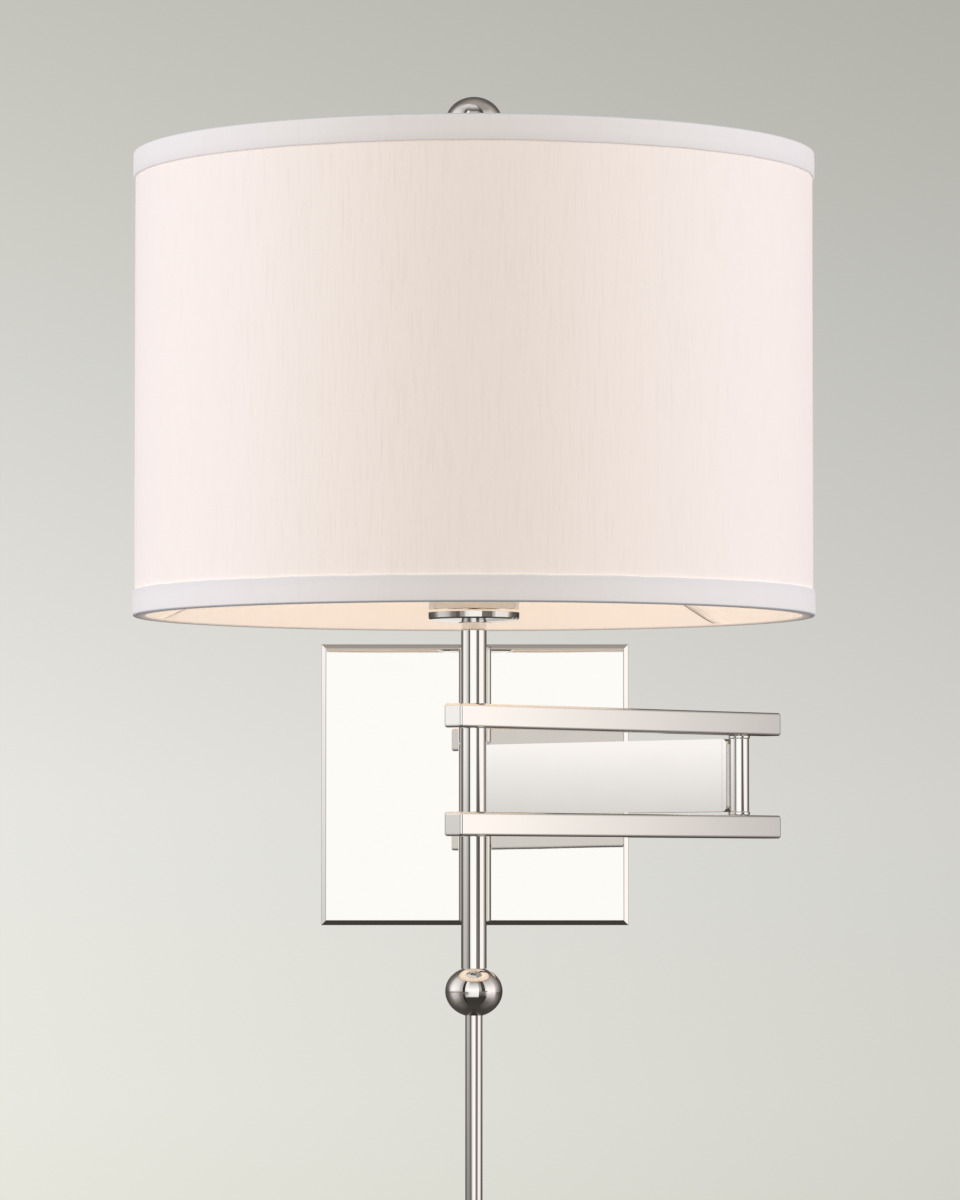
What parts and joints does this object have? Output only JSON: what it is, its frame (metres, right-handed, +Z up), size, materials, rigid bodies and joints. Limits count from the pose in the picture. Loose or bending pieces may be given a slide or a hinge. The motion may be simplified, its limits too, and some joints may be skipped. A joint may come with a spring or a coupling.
{
  "type": "swing arm wall sconce",
  "caption": "Wall plate with two vertical hinges, a flat arm and twin square bars carrying a lamp post, ball and white drum shade.",
  "frame": {"origin": "centre of the wall plate's rear face, where it lies on the wall", "axes": "+Z up, +Y into the wall, +X to the right when facing the wall"},
  "size_m": [0.358, 0.53, 0.678],
  "materials": {
    "polished_nickel": "polished nickel plate",
    "plated_steel": "zinc plated",
    "nylon": "moulded nylon",
    "nickel_wire": "satin nickel wire",
    "socket_brass": "satin brass",
    "insulating_board": "pressed board",
    "black_phenolic": "moulded phenolic",
    "frosted_glass": "frosted, lit warm white",
    "white_fabric": "slubbed woven fabric",
    "white_trim": "plain woven tape",
    "white_liner": "styrene sheet",
    "white_wire": "white enamel"
  },
  "bodies": {
    "wall_mount": {"backplate": "polished_nickel", "mounting_strap": "plated_steel", "plate_screws": "plated_steel", "hinge_knuckle_upper": "polished_nickel", "hinge_knuckle_lower": "polished_nickel", "hinge_caps": "polished_nickel", "hinge_pin": "plated_steel", "hinge_washers": "nylon"},
    "inner_arm": {"inner_arm": "polished_nickel", "arm_plugs": "polished_nickel", "arm_knuckle": "polished_nickel", "elbow_barrel": "polished_nickel"},
    "lamp_arm": {"upper_bar": "polished_nickel", "lower_bar": "polished_nickel", "elbow_pin": "polished_nickel", "elbow_washers": "polished_nickel", "post_tube_upper": "polished_nickel", "post_tube_middle": "polished_nickel", "post_tube_lower": "polished_nickel", "threaded_pipe": "plated_steel", "post_ball": "polished_nickel", "drop_tube": "polished_nickel", "cord_bushing": "nylon", "socket_cup": "polished_nickel", "harp_saddle": "white_wire", "pipe_nut": "plated_steel", "harp": "nickel_wire", "socket_cap": "socket_brass", "socket_shell": "socket_brass", "socket_insulator": "insulating_board", "switch_block": "black_phenolic", "screw_shell": "socket_brass", "bulb_globe": "frosted_glass", "bulb_base": "socket_brass", "shade_liner": "white_liner", "shade_fabric": "white_fabric", "shade_top_trim": "white_trim", "shade_bottom_trim": "white_trim", "shade_top_ring": "white_wire", "shade_bottom_ring": "white_wire", "shade_spider": "white_wire", "finial": "polished_nickel"},
    "switch": {"switch_knob": "black_phenolic"}
  },
  "joints": [
    {"name": "wall_hinge", "type": "hinge", "parent": "wall_mount", "child": "inner_arm", "pos_m": [0, -0.032, 0.0024], "axis": [0, 0, 1], "range_deg": [-60, 39]},
    {"name": "elbow_hinge", "type": "hinge", "parent": "inner_arm", "child": "lamp_arm", "pos_m": [0.14565, -0.19151, 0.0024], "axis": [0, 0, 1], "range_deg": [-50, 84]},
    {"name": "switch_turn", "type": "hinge", "parent": "lamp_arm", "child": "switch", "pos_m": [0, -0.37301, 0.1093], "axis": [0, -1, 0], "continuous": true}
  ]
}
